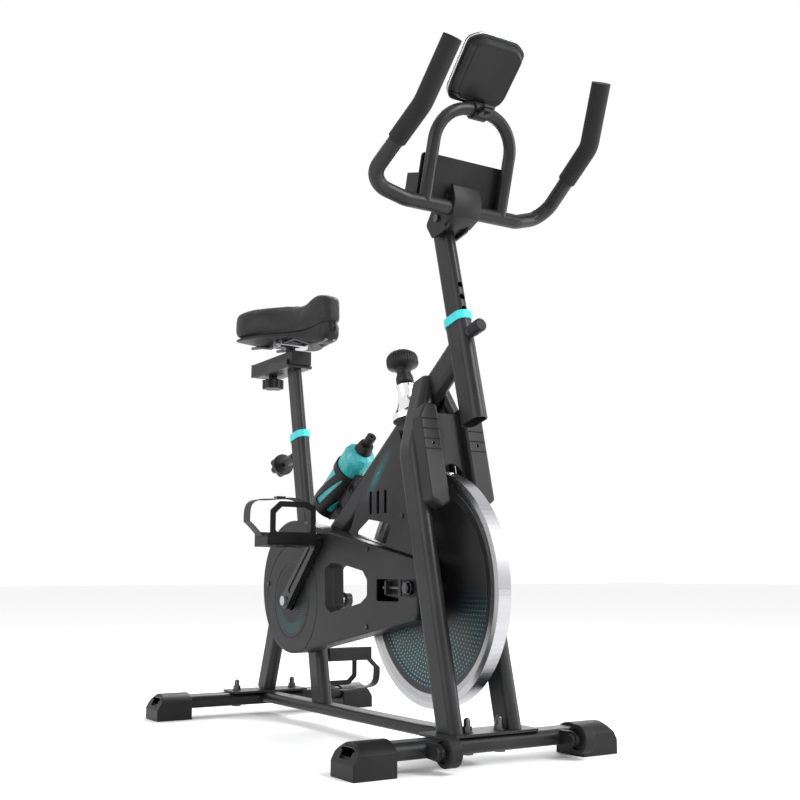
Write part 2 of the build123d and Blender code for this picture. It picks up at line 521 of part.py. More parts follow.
def build_bottle():
    """Bottle lying along the down tube in a strapped cage."""
    top = BOTTLE_LOW + BOTTLE_BODY
    profile = make_face(Polyline((0, BOTTLE_LOW), (25, BOTTLE_LOW), (BOTTLE_R, BOTTLE_LOW + 5),
                                 (BOTTLE_R, top), (25, top + 10), (14, top + 17), (0, top + 17),
                                 (0, BOTTLE_LOW)))
    cavity = make_face(Polyline((0, BOTTLE_LOW + 2), (24, BOTTLE_LOW + 2), (27, BOTTLE_LOW + 7), (27, top),
                                (23, top + 8), (12, top + 14), (0, top + 14), (0, BOTTLE_LOW + 2)))
    place = DOWN * Pos(BOTTLE_X, 0, 0)
    body = revolve(Plane.XZ * (profile - cavity), Axis.Z)
    nodes["bottle_body"] = place * (body - up_cylinder(6, 20, top + 8))
    cap = up_cone(17, 13, 16, top + 17) - up_cylinder(6, 40, top + 16)
    nodes["bottle_cap"] = place * cap
    spout = up_cylinder(6 - RUN_FIT, 26, top + 14) + up_cylinder(9, 14, top + 40)
    spout = spout - up_cylinder(3, 60, top + 10)
    nodes["bottle_spout"] = place * spout

    shell = up_cylinder(BOTTLE_R + 2.9, 130, BOTTLE_LOW - 3.4)
    shell -= up_cylinder(BOTTLE_R + 0.4, 130, BOTTLE_LOW - 0.4)
    pattern = block(-50, 50, -50, 50, BOTTLE_LOW + 96, BOTTLE_LOW + 110)
    pattern += block(-50, 50, -50, 50, BOTTLE_LOW - 4, BOTTLE_LOW + 12)
    for low_x, high_x in ((-22, 8), (8, 24)):
        strip = Polygon((low_x, BOTTLE_LOW), (low_x + 13, BOTTLE_LOW), (high_x + 13, BOTTLE_LOW + 100),
                        (high_x, BOTTLE_LOW + 100), align=None)
        pattern += side_plate(strip, -50, 50)
    floor_hole = up_cylinder(16, 20, BOTTLE_LOW - 10)
    spine = block(25 + 4.5, 25 + 8.5, -9, 9, BOTTLE_LOW - 3.4, BOTTLE_LOW + 122)
    cage = Pos(BOTTLE_X, 0, 0) * ((shell & pattern) - floor_hole)
    cage += Pos(BOTTLE_X, 0, 0) * spine
    for z in (BOTTLE_LOW + 30, BOTTLE_LOW + 86):
        cage += Pos(-38, 0, z) * Rot(0, 90, 0) * up_cylinder(6, 15)
    nodes["bottle_cage"] = DOWN * (cage - oval_bar(OVAL_LONG, OVAL_WIDE, 640, -425))


# ---------------------------------------------------------------- brake
KNOB_S, BASE_TOP_S, PAD_R = 357.5, 353.5, 195.5


def build_brake():
    """Push-and-turn brake: knob and rod, chrome socket, shoe and friction pad."""
    socket = revolve(Plane.XZ * make_face(
        Polyline((0, 290), (30, 290), (30, 300)) + Spline((30, 300), (19, 318), (15, 338), (17, BASE_TOP_S))
        + Polyline((17, BASE_TOP_S), (0, BASE_TOP_S), (0, 290))), Axis.Z)
    socket = BRAKE * (socket - up_cylinder(5.55, 100, 280)) - DOWN_BAR
    nodes["brake_socket"] = socket.solids().sort_by(Axis.Z)[-1]
    knob = up_cylinder(18, 12, KNOB_S) + up_cone(18, 27, 14, KNOB_S + 12)
    knob += fillet(up_cylinder(28, 38, KNOB_S + 26).edges().sort_by(Axis.Z)[-1], 12)
    knob = fillet(knob.edges().sort_by(Axis.Z)[0], 2)
    for turn in range(12):
        knob -= Rot(0, 0, 30 * turn) * Pos(30, 0, 0) * up_cylinder(3.4, 22, KNOB_S + 28)
    nodes["brake_knob"] = BRAKE * (knob - up_cylinder(5.55, 20.5, KNOB_S))
    nodes["brake_rod"] = BRAKE * up_cylinder(5.5, KNOB_S + 20 - 216, 216)
    wheel_cut = cross_cylinder(PAD_R + 7, -40, 40, FLY_X, FLY_Z)
    shoe = block(-26, 26, -13, 13, 196, 212) + up_cylinder(10, 18, 211)
    shoe = BRAKE * (shoe - up_cylinder(5.55, 30, 213)) - wheel_cut
    nodes["brake_shoe"] = shoe
    pad = BRAKE * block(-25, 25, -11, 11, 188, 206)
    ring = wheel_cut - cross_cylinder(PAD_R, -50, 50, FLY_X, FLY_Z)
    nodes["brake_pad"] = pad & ring


# ---------------------------------------------------------------- handlebar
BAR_POST_S, BAR_POST_LEN = 64.4, 273.0
BAR_POINTS = [(519, 145, 1051), (468, 162, 967), (330, 175, 888), (338, 110, 868)]
CROSS_X, CROSS_Z = 338.0, 868.0


def build_handlebar():
    """Handlebar post, its bracket, the bent bar with grips, the upper loop and the tray."""
    post = oval_tube(BAR_POST_LONG, BAR_POST_WIDE, POST_WALL, BAR_POST_LEN, BAR_POST_S)
    for step in range(-2, 5):
        post -= Pos(10, 0, BAR_PIN_S + step * HOLE_PITCH) * Rot(0, 90, 0) * up_cylinder(HOLE_R, 20)
    nodes["handlebar_post"] = HEAD * post

    right = [(x, -y, z) for x, y, z in reversed(BAR_POINTS)]
    path = FilletPolyline(*BAR_POINTS, *right, radius=34)
    start = Plane(origin=path @ 0, z_dir=path % 0)
    bar = sweep(start * Circle(BAR_R), path=path)
    nodes["handlebar"] = bar - sweep(start * Circle(BAR_R - WALL), path=path)

    mid = Vector(*BAR_POINTS[2]) * 0.45 + Vector(*BAR_POINTS[1]) * 0.55
    end = Vector(*BAR_POINTS[0])
    tip = end + (end - Vector(*BAR_POINTS[1])).normalized() * 3
    grip_path = FilletPolyline(tip, BAR_POINTS[1], mid, radius=34)
    grip_start = Plane(origin=grip_path @ 0, z_dir=grip_path % 0)
    grip = sweep(grip_start * Circle(GRIP_R), path=grip_path) - bar
    nodes["handlebar_grips"] = both_sides(grip)

    corner = 60.0
    loop_path = FilletPolyline((0, LOOP_HALF, 0), (0, LOOP_HALF, 160), (0, -LOOP_HALF, 160),
                               (0, -LOOP_HALF, 0), radius=corner)
    section = Plane(origin=loop_path @ 0, z_dir=loop_path % 0)
    loop = sweep(section * Circle(LOOP_R), path=loop_path)
    hollow = sweep(section * Circle(LOOP_R - WALL), path=loop_path)
    loop = LOOP * (loop - hollow) - cross_cylinder(BAR_R, -120, 120, CROSS_X, CROSS_Z)
    nodes["handlebar"] = [nodes["handlebar"], loop]

    cheek = rounded([(264, 858), (283, 830), (322, 838), (354, 866), (346, 896), (302, 905)], 8)
    bracket = side_plate(cheek, 18, 22) + side_plate(cheek, -22, -18)
    for x, z in ((298, 862), (334, 888)):
        bracket -= cross_cylinder(4, -30, 30, x, z)
    bridge = rounded([(268, 852), (283, 835), (320, 845), (338, 858), (322, 874), (292, 874)], 4)
    bracket += side_plate(bridge, -18, 18)
    bracket -= cross_cylinder(BAR_R, -120, 120, CROSS_X, CROSS_Z)
    nodes["stem_bracket"] = bracket
    nodes["handlebar_post"] -= side_plate(bridge, -18, 18)
    head = cross_cylinder(6.5, -26, -22, 334, 888)
    through = head + cross_cylinder(4, -22, 22, 334, 888) + mirror(head, about=Plane.XZ)
    screw = cross_cylinder(6.5, -26, -22, 298, 862) + cross_cylinder(4, -22, -18, 298, 862)
    nodes["stem_bolts"] = [through] + both_sides(screw)

    panel = block(-16, -13, -85, 85, 4, 80)
    tray = LOOP * fillet(panel.edges().filter_by(Axis.X), 8)
    ledge = block(286, 325, -85, 85, 868.4, 871.4)
    tray += fillet(ledge.edges().filter_by(Axis.Z).group_by(Axis.X)[0], 10)
    for side in (-1, 1):
        flap = LOOP * block(-50, -13, side * 83.5 - 1.5, side * 83.5 + 1.5, 4, 46)
        tray += flap
    tray += block(286, 289, -76, 76, 868.4, 880)
    tray -= side_plate(offset(cheek, 0.4), -22.4, 22.4)
    tray -= cross_cylinder(7, -27, 27, 334, 888)
    tray -= cross_cylinder(BAR_R + 0.2, -120, 120, CROSS_X, CROSS_Z)
    nodes["device_tray"] = tray.solids().sort_by(SortBy.VOLUME)[-1]


# ---------------------------------------------------------------- console
def build_console():
    """Console on a clamp that swings on the loop's top tube."""
    hinge = Vector(LOOP_X + 160 * math.sin(math.radians(LOOP_LEAN)), 0,
                   LOOP_Z + 160 * math.cos(math.radians(LOOP_LEAN)))
    place = Location((363, 0, 1039), (0, 90 - CONSOLE_TILT, 0))
    outline = rounded([(-38, 0), (38, 0), (55, 28), (52, 105), (30, 120), (-30, 120),
                       (-52, 105), (-55, 28)], 9)
    bezel = Pos(-9, 0, 0) * extrude(Plane.YZ * outline, 9)
    glass = rounded([(-36, 34), (36, 34), (36, 96), (-36, 96)], 4)
    bezel -= Pos(-9, 0, 0) * extrude(Plane.YZ * glass, 2)
    bezel -= Pos(-9, 0, 18) * Rot(0, 90, 0) * up_cylinder(7, 5)
    nodes["console_bezel"] = place * bezel
    nodes["console_display"] = place * Pos(-9, 0, 0) * extrude(Plane.YZ * glass, 2)
    button = up_cylinder(6.9, 5.3)
    nodes["console_button"] = place * Pos(-10.5, 0, 18) * Rot(0, 90, 0) * button
    back = rounded([(-28, 22), (28, 22), (40, 40), (38, 100), (24, 112), (-24, 112),
                    (-38, 100), (-40, 40)], 7)
    housing = extrude(Plane.YZ * back, 17)
    housing = fillet(housing.faces().sort_by(Axis.X)[-1].edges(), 3)
    housing -= extrude(Plane.YZ * offset(back, -2.5), 14)
    housing -= Pos(10, 0, 60) * Rot(0, 90, 0) * up_cylinder(4.5, 10)
    housing -= block(10, 20, -2, 2, 42, 60)
    nodes["console_housing"] = place * housing

    ring = cross_cylinder(LOOP_R + 4, -13, 13, hinge.X, hinge.Z)
    neck = place * block(0, 17, -13, 13, 2, 24) - place * Pos(-20, 0, 0) * extrude(Plane.YZ * back, 60)
    lug = block(hinge.X + 8, hinge.X + 32, -10, 10, hinge.Z - 12, hinge.Z - 1)
    clamp = ring + neck + lug
    clamp -= cross_cylinder(LOOP_R + RUN_FIT, -40, 40, hinge.X, hinge.Z)
    slot = block(hinge.X + 5, hinge.X + 40, -20, 20, hinge.Z - 7.5, hinge.Z - 5.5)
    hole = Pos(hinge.X + 24, 0, hinge.Z - 30) * up_cylinder(2.5, 40)
    screw = up_cylinder(2.5, 11, hinge.Z - 12) + up_cylinder(5, 4, hinge.Z - 16)
    nodes["console_clamp"] = [clamp - slot - hole, Pos(hinge.X + 24, 0, 0) * screw]


# ---------------------------------------------------------------- seat
SLIDER_X, SLIDER_Y, SLIDER_Z, SLIDER_HIGH = (-423.0, -233.0), 22.0, 703.0, 28.0
CLAMP_X, SADDLE_POST_X = -362.0, -281.0


def lobed_knob(radius, lobes, height):
    """Star-shaped hand knob standing on z = 0."""
    knob = up_cylinder(radius * 0.8, height)
    for turn in range(lobes):
        knob += Rot(0, 0, 360 / lobes * turn) * Pos(radius * 0.66, 0, 0) * up_cylinder(radius * 0.34, height)
    return knob


def build_pins():
    """Pull pins that lock the two posts, and the carriage clamp knob."""
    pin = up_cylinder(PIN_R, 34, BAR_POST_LONG / 2 + 0.25) + up_cylinder(11, 4, 36)
    pin += fillet(up_cylinder(11, 18, 40).edges().sort_by(Axis.Z)[-1], 3)
    nodes["handlebar_pin"] = HEAD * Pos(0, 0, BAR_PIN_S) * Rot(0, 90, 0) * pin
    pin = up_cylinder(PIN_R, 66, SEAT_POST_LONG / 2 + 0.25) + up_cylinder(22, 4, 80)
    pin += Pos(0, 0, 84) * lobed_knob(22, 6, 15)
    nodes["seat_pin_knob"] = SEAT * Pos(0, 0, SEAT_PIN_S) * Rot(0, -90, 0) * pin


def build_seat():
    """Seat post, carriage, saddle post and saddle."""
    post = oval_tube(SEAT_POST_LONG, SEAT_POST_WIDE, POST_WALL, 392, 285)
    for step in range(-5, 4):
        post -= Pos(-10, 0, SEAT_PIN_S + step * HOLE_PITCH) * Rot(0, -90, 0) * up_cylinder(HOLE_R, 20)
    shelf = block(-388, -236, -27, 27, 697, 702.9)
    for side in (-1, 1):
        low, high = sorted((side * (SLIDER_Y + 0.1), side * 27.0))
        shelf += block(-330, -244, low, high, 702.9, 714)
    shelf -= Pos(CLAMP_X, 0, 690) * up_cylinder(5.05, 20)
    post = SEAT * post - block(-400, -100, -60, 60, 697, 800)
    nodes["seat_post"] = [post, shelf]

    x_low, x_high = SLIDER_X
    y, z, high = SLIDER_Y, SLIDER_Z, SLIDER_HIGH
    slider = fillet(block(x_low, x_high, -y, y, z, z + high).edges().filter_by(Axis.X), 3)
    slider -= block(x_low, x_high, 2 - y, y - 2, z + 2, z + high - 2)
    slider -= block(CLAMP_X - 36, CLAMP_X + 96, -5.3, 5.3, z - 1, z + 3)
    slider -= Pos(SADDLE_POST_X, 0, z + high - 3) * up_cylinder(10, 5)
    stub = up_cylinder(10, 38, z + high - 2) - up_cylinder(8, 38, z + high - 2)
    nodes["saddle_slider"] = [slider, Pos(SADDLE_POST_X, 0, 0) * stub]
    front = block(x_high - 10, x_high + 3, 2 - y, y - 2, z + 2, z + high - 2) + block(
        x_high, x_high + 3, -y, y, z, z + high)
    rear = block(x_low - 3, x_low + 10, 2 - y, y - 2, z + 2, z + high - 2) + block(
        x_low - 3, x_low, -y, y, z, z + high)
    nodes["slider_plugs"] = [front, rear]
    nut = Pos(CLAMP_X, 0, 0) * (block(-12, 12, -12, 12, z + 2.1, z + 10) - up_cylinder(4.05, 30, z))
    nodes["clamp_nut"] = nut
    bolt = up_cylinder(4, z + 10 - 690, 690)
    nodes["clamp_knob"] = Pos(CLAMP_X, 0, 0) * (bolt + Pos(0, 0, 671) * lobed_knob(22.5, 6, 19) + up_cylinder(
        9, 6.7, 690))

    rail_path = FilletPolyline((-108, 9, 734), (-160, 12, 731), (-215, 22, 752), (-330, 22, 752),
                               (-356, 30, 757), (-404, 30, 763), radius=12)
    section = Plane(origin=rail_path @ 0, z_dir=rail_path % 0)
    rail = sweep(section * Circle(3.5), path=rail_path)
    rails = both_sides(rail)
    nodes["saddle_rails"] = rails
    clamp = block(-300, -262, -31, 31, 744, 760)
    clamp = fillet(clamp.edges().filter_by(Axis.Y), 5)
    clamp -= Pos(SADDLE_POST_X, 0, 700) * up_cylinder(10, 69)
    clamp -= rails[0] + rails[1]
    nodes["saddle_clamp"] = [clamp] + both_sides(cross_cylinder(6, -36, -31, SADDLE_POST_X, 751))

    half = [(-94, 20), (-190, 32), (-245, 56), (-305, 100), (-352, 100), (-384, 72)]
    outline = rounded(half + [(x, -y) for x, y in reversed(half)], 18)
    pan = Pos(0, 0, 764) * extrude(outline, 8, dir=(0, 0, 1))
    pan -= Pos(0, 0, 763) * extrude(offset(outline, -3), 6, dir=(0, 0, 1))
    nose_mount = block(-158, -106, -16, 16, 726, 770)
    nose_mount = fillet(nose_mount.edges().filter_by(Axis.Z), 5) - rails[0] - rails[1]
    pan += nose_mount
    for side in (-1, 1):
        mount = block(-362, -338, side * 30 - 9, side * 30 + 9, 750, 770)
        pan += mount - rails[0] - rails[1]
    nodes["saddle_base"] = pan
    crown = Pos(-400, 0, 829 - 153.6) * Rot(0, 90, 0) * up_cylinder(153.6, 320)
    side_shape = make_face(Polyline((-400, 772), (-400, 800), (-384, 806)) + Spline(
        (-384, 806), (-330, 824), (-254, 829), (-190, 820), (-132, 815), (-94, 790)) + Polyline(
        (-94, 790), (-80, 780), (-80, 772), (-400, 772)))
    body = (Pos(0, 0, 772) * extrude(outline, 70, dir=(0, 0, 1))) & side_plate(side_shape, -110, 110)
    nodes["saddle_cushion"] = body & crown


build_base()
build_flywheel(build_frame())
for build in (build_drive, build_guard, build_covers, build_fender, build_screws, build_bottle,
              build_brake, build_handlebar, build_console, build_pins, build_seat):
    build()

os.makedirs("parts", exist_ok=True)
for name, shape in nodes.items():
    solids = shape if isinstance(shape, list) else [shape]
    placed = [Pos(-MID_X, 0, 0) * solid for solid in solids]
    export_step(Compound(children=placed) if len(placed) > 1 else placed[0], "parts/" + name + ".step")
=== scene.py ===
import bmesh
import bpy
import json
import math
from mathutils import Matrix, Vector


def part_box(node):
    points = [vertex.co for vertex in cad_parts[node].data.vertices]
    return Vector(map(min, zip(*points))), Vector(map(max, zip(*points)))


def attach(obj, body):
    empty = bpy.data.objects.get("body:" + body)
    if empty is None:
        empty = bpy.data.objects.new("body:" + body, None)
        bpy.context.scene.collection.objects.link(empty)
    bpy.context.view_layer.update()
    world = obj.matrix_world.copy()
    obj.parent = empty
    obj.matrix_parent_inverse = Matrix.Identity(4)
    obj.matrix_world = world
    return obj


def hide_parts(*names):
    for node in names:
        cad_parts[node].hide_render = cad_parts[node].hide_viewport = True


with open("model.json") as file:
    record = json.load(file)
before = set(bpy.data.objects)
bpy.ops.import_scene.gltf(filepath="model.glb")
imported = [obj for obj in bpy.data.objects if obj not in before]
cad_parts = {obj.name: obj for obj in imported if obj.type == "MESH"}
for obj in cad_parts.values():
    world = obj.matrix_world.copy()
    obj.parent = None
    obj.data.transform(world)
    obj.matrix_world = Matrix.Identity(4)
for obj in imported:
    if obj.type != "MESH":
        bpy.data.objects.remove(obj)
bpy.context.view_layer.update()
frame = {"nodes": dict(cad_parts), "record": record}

MID_X = 0.05347
NODES = frame["nodes"]
SUBPARTS = {s["node"]: s["material_slot"] for s in frame["record"]["subparts"]}


def at(x, y, z):
    """Layout millimetres to the row frame."""
    return Vector((x / 1000 - MID_X, y / 1000, z / 1000))


# ---------------------------------------------------------------- node helpers
class Paint:
    """A material under construction, with short names for the nodes it uses."""

    def __init__(self, name):
        self.material = bpy.data.materials.new(name)
        self.material.use_nodes = True
        self.tree = self.material.node_tree
        self.shader = self.tree.nodes["Principled BSDF"]
        self.coord = self.add("ShaderNodeTexCoord").outputs["Object"]

    def add(self, kind, **fields):
        node = self.tree.nodes.new(kind)
        for key, value in fields.items():
            setattr(node, key, value)
        return node

    def put(self, socket, value):
        if hasattr(value, "is_output"):
            self.tree.links.new(value, socket)
        else:
            socket.default_value = value

    def math(self, operation, *values):
        node = self.add("ShaderNodeMath", operation=operation)
        for socket, value in zip(node.inputs, values):
            self.put(socket, value)
        return node.outputs[0]

    def length(self, a, b):
        squares = self.math("MULTIPLY", a, a), self.math("MULTIPLY", b, b)
        return self.math("SQRT", self.math("ADD", *squares))

    def noise(self, scale, detail=3.0, rough=0.5, vector=None):
        node = self.add("ShaderNodeTexNoise")
        self.put(node.inputs["Vector"], self.coord if vector is None else vector)
        node.inputs["Scale"].default_value = scale
        node.inputs["Detail"].default_value = detail
        node.inputs["Roughness"].default_value = rough
        return node.outputs["Fac"]

    def cells(self, scale):
        node = self.add("ShaderNodeTexVoronoi", feature="F1")
        self.put(node.inputs["Vector"], self.coord)
        node.inputs["Scale"].default_value = scale
        return node.outputs["Distance"]

    def fit(self, value, a, b, c, d):
        node = self.add("ShaderNodeMapRange", clamp=True)
        self.put(node.inputs["Value"], value)
        for key, number in zip(("From Min", "From Max", "To Min", "To Max"), (a, b, c, d)):
            node.inputs[key].default_value = number
        return node.outputs["Result"]

    def step(self, value, edge, soft):
        return self.fit(value, edge - soft, edge + soft, 0.0, 1.0)

    def mix(self, factor, a, b):
        node = self.add("ShaderNodeMix", data_type="RGBA")
        self.put(node.inputs[0], factor)
        self.put(node.inputs[6], a)
        self.put(node.inputs[7], b)
        return node.outputs[2]

    def xyz(self):
        node = self.add("ShaderNodeSeparateXYZ")
        self.put(node.inputs[0], self.coord)
        return node.outputs

    def bump(self, height, strength, distance=0.001, normal=None):
        node = self.add("ShaderNodeBump")
        self.put(node.inputs["Height"], height)
        node.inputs["Strength"].default_value = strength
        node.inputs["Distance"].default_value = distance
        if normal is not None:
            self.put(node.inputs["Normal"], normal)
        return node.outputs["Normal"]

    def edges(self, radius):
        """1 along sharp edges, 0 on flats."""
        bevel = self.add("ShaderNodeBevel", samples=4)
        bevel.inputs["Radius"].default_value = radius
        plain = self.add("ShaderNodeNewGeometry")
        dot = self.add("ShaderNodeVectorMath", operation="DOT_PRODUCT")
        self.put(dot.inputs[0], bevel.outputs["Normal"])
        self.put(dot.inputs[1], plain.outputs["Normal"])
        return bevel.outputs["Normal"], self.fit(dot.outputs["Value"], 0.80, 0.98, 1.0, 0.0)

    def radius_from(self, centre):
        """Distance from, and angle about, a line along Y."""
        out = self.xyz()
        dx = self.math("SUBTRACT", out[0], centre.x)
        dz = self.math("SUBTRACT", out[2], centre.z)
        radius = self.length(dx, dz)
        return radius, self.math("ARCTAN2", dz, dx), dz


def colour(r, g, b):
    return (r, g, b, 1.0)


def body_paint(name, base, rough, grain_scale=900.0, grain=0.12, wear=0.35, radius=0.0012, coat=0.0):
    """Painted or moulded surface: fine grain, cloudy gloss, colour drift and lighter, smoother edges."""
    p = Paint(name)
    normal, edge = p.edges(radius)
    cloud = p.noise(14.0, 4.0)
    fine = p.noise(grain_scale, 2.0)
    dust = p.noise(160.0, 6.0, 0.7)
    darker = colour(*(c * 0.78 for c in base))
    lighter = colour(*(min(1.0, c * 1.22 + 0.004) for c in base))
    tone = p.mix(p.fit(cloud, 0.3, 0.7, 0.0, 1.0), darker, lighter)
    worn = p.mix(p.math("MULTIPLY", edge, wear), tone, colour(*(min(1.0, c * 2.2 + 0.012) for c in base)))
    p.put(p.shader.inputs["Base Color"], worn)
    gloss = p.fit(cloud, 0.25, 0.75, rough - 0.06, rough + 0.06)
    gloss = p.math("ADD", gloss, p.fit(dust, 0.35, 0.65, -0.03, 0.03))
    p.put(p.shader.inputs["Roughness"], p.math("SUBTRACT", gloss, p.math("MULTIPLY", edge, 0.08)))
    p.put(p.shader.inputs["Normal"], p.bump(fine, grain, 0.0006, normal))
    p.shader.inputs["Coat Weight"].default_value = coat
    p.shader.inputs["Coat Roughness"].default_value = 0.25
    p.shader.inputs["Specular IOR Level"].default_value = 0.20
    return p


def clouded(p, cloud, dark, light):
    """Base colour that drifts between two tones."""
    tone = p.mix(p.fit(cloud, 0.3, 0.7, 0.0, 1.0), colour(*dark), colour(*light))
    p.put(p.shader.inputs["Base Color"], tone)
    return tone


def metal_paint(name, base, rough, brushed=0.0):
    """Bare metal with a cloudy polish and softened edges."""
    p = Paint(name)
    normal = p.edges(0.0008)[0]
    cloud = p.noise(30.0, 5.0)
    fine = p.noise(1500.0, 2.0)
    clouded(p, cloud, [c * 0.9 for c in base], base)
    p.shader.inputs["Metallic"].default_value = 1.0
    p.put(p.shader.inputs["Roughness"], p.fit(cloud, 0.3, 0.7, max(0.04, rough - 0.05), rough + 0.07))
    p.put(p.shader.inputs["Normal"], p.bump(fine, 0.04 + brushed, 0.0003, normal))
    return p


def dotted(p, centre, r_low, r_high, ring_gap, spacing, dot, fade_z):
    """Rings of dots round a line along Y, fading out upwards."""
    radius, angle, dz = p.radius_from(centre)
    ring = p.math("DIVIDE", radius, ring_gap)
    row = p.math("FLOOR", ring)
    off_ring = p.math("MULTIPLY", p.math("SUBTRACT", p.math("SUBTRACT", ring, row), 0.5), ring_gap)
    row_radius = p.math("MULTIPLY", p.math("ADD", row, 0.5), ring_gap)
    count = p.math("ROUND", p.math("DIVIDE", p.math("MULTIPLY", row_radius, 2 * math.pi), spacing))
    along = p.math("MULTIPLY", p.math("DIVIDE", angle, 2 * math.pi), count)
    along = p.math("SUBTRACT", p.math("FRACT", p.math("ADD", along, 100.0)), 0.5)
    off_arc = p.math("MULTIPLY", along, spacing)
    away = p.length(off_ring, off_arc)
    spot = p.fit(away, dot * 0.75, dot * 1.1, 1.0, 0.0)
    inner = p.step(radius, r_low, 0.001)
    outer = p.fit(radius, r_high - 0.001, r_high + 0.001, 1.0, 0.0)
    inside = p.math("MULTIPLY", inner, outer)
    fade = p.fit(dz, -fade_z, 0.004, 1.0, 0.0)
    return p.math("MULTIPLY", p.math("MULTIPLY", spot, inside), fade)


def tint(p, mask, paint, amount=1.0):
    """Lay a colour over what the base colour socket already gets: prints, and painted shade in the guard's
    dish.
    """
    socket = p.shader.inputs["Base Color"]
    under = socket.links[0].from_socket
    p.put(socket, p.mix(p.math("MULTIPLY", mask, amount), under, paint))


TURQUOISE = colour(0.030, 0.42, 0.47)
FLY = at(250, 0, 257.5)
CRANK = at(-150, 0, 230.5)
BRAKE_LEAN = math.radians(13.8)
CONSOLE_PIVOT, CONSOLE_LEAN = Vector((363, 0, 1039)), math.radians(46)


def flywheel_paint():
    """Turned chrome rim with a black, dot-printed web."""
    p = Paint("flywheel_rim")
    normal = p.edges(0.001)[0]
    radius, angle = p.radius_from(FLY)[:2]
    rim = p.step(radius, 0.1665, 0.0006)
    turned = p.noise(1.0, 4.0, 0.6, vector=rings(p, radius, angle, 2600.0, 1.5))
    cloud = p.noise(18.0, 4.0)
    black = clouded(p, cloud, (0.0045, 0.0045, 0.0050), (0.0090, 0.0090, 0.0096))
    spots = dotted(p, FLY, 0.082, 0.158, 0.0066, 0.0074, 0.00125, 0.110)
    black = p.mix(spots, black, TURQUOISE)
    bright = p.mix(p.fit(turned, 0.3, 0.7, 0.0, 1.0), colour(0.34, 0.34, 0.35), colour(0.52, 0.52, 0.53))
    p.put(p.shader.inputs["Base Color"], p.mix(rim, black, bright))
    p.put(p.shader.inputs["Metallic"], rim)
    web_rough = p.fit(cloud, 0.3, 0.7, 0.34, 0.46)
    rim_rough = p.fit(turned, 0.3, 0.7, 0.22, 0.34)
    p.put(p.shader.inputs["Roughness"], p.math("ADD", p.math("MULTIPLY", rim, rim_rough),
          p.math("MULTIPLY", p.math("SUBTRACT", 1.0, rim), web_rough)))
    p.put(p.shader.inputs["Normal"], p.bump(turned, 0.05, 0.0003, normal))
    return p


def rings(p, radius, angle, fine, coarse):
    """Vector that changes fast across the radius and slowly round it."""
    node = p.add("ShaderNodeCombineXYZ")
    p.put(node.inputs[0], p.math("MULTIPLY", radius, fine))
    p.put(node.inputs[1], p.math("MULTIPLY", angle, coarse))
    return node.outputs[0]


def guard_paint():
    p = body_paint("guard_shell", (0.0118, 0.0118, 0.0126), 0.42, 1100.0, 0.10, 0.25, 0.002)
    radius = p.radius_from(CRANK)[0]
    # Painted shade: the recessed dish round the crank is darkened in the base colour, standing in for its
    # shadow.
    painted_dish_shade = p.fit(radius, 0.0635, 0.0645, 1.0, 0.0)
    tint(p, painted_dish_shade, colour(0.0045, 0.0045, 0.0050), 0.8)
    spots = dotted(p, CRANK, 0.043, 0.062, 0.0038, 0.0052, 0.0009, 0.055)
    tint(p, spots, TURQUOISE, 0.7)
    return p


def cover_paint():
    """Side cover plastic with a printed streak along its upper edge."""
    p = body_paint("cover_shell", (0.0110, 0.0110, 0.0118), 0.40, 1100.0, 0.10, 0.25, 0.002)
    out = p.xyz()
    a, b = at(108, 0, 398), at(202, 0, 492)
    d = (b - a).normalized()
    dx, dz = p.math("SUBTRACT", out[0], a.x), p.math("SUBTRACT", out[2], a.z)
    along = p.math("ADD", p.math("MULTIPLY", dx, d.x), p.math("MULTIPLY", dz, d.z))
    across = p.math("ABSOLUTE", p.math("SUBTRACT", p.math("MULTIPLY", dx, d.z), p.math("MULTIPLY", dz, d.x)))
    middle = p.fit(p.math("ABSOLUTE", p.math("SUBTRACT", along, 0.066)), 0.0, 0.062, 1.0, 0.0)
    band = p.math("MULTIPLY", middle, p.fit(across, 0.0, 0.013, 1.0, 0.0))
    speckle = p.fit(p.cells(330.0), 0.15, 0.45, 1.0, 0.25)
    tint(p, p.math("MULTIPLY", band, speckle), TURQUOISE, 0.55)
    return p


def bottle_paint():
    """Tinted, slightly cloudy squeezy plastic."""
    p = Paint("bottle_shell")
    normal = p.edges(0.0015)[0]
    cloud = p.noise(22.0, 4.0)
    clouded(p, cloud, (0.018, 0.27, 0.29), (0.045, 0.50, 0.53))
    p.put(p.shader.inputs["Roughness"], p.fit(p.noise(70.0, 5.0), 0.3, 0.7, 0.18, 0.34))
    p.shader.inputs["Transmission Weight"].default_value = 0.25
    p.shader.inputs["Subsurface Weight"].default_value = 0.15
    p.shader.inputs["Subsurface Scale"].default_value = 0.004
    p.put(p.shader.inputs["Normal"], p.bump(p.noise(500.0, 2.0), 0.05, 0.0004, normal))
    return p


def leather_paint():
    """Vinyl saddle cover with a fine pebble grain."""
    p = Paint("saddle_vinyl")
    pebble = p.cells(420.0)
    crease = p.noise(60.0, 6.0, 0.65)
    cloud = p.noise(9.0, 3.0)
    clouded(p, cloud, (0.0052, 0.0052, 0.0056), (0.0098, 0.0098, 0.0104))
    p.put(p.shader.inputs["Roughness"], p.fit(crease, 0.3, 0.7, 0.44, 0.60))
    inner = p.bump(crease, 0.10, 0.001)
    p.put(p.shader.inputs["Normal"], p.bump(pebble, 0.22, 0.0006, inner))
    p.shader.inputs["Sheen Weight"].default_value = 0.03
    p.shader.inputs["Specular IOR Level"].default_value = 0.25
    return p


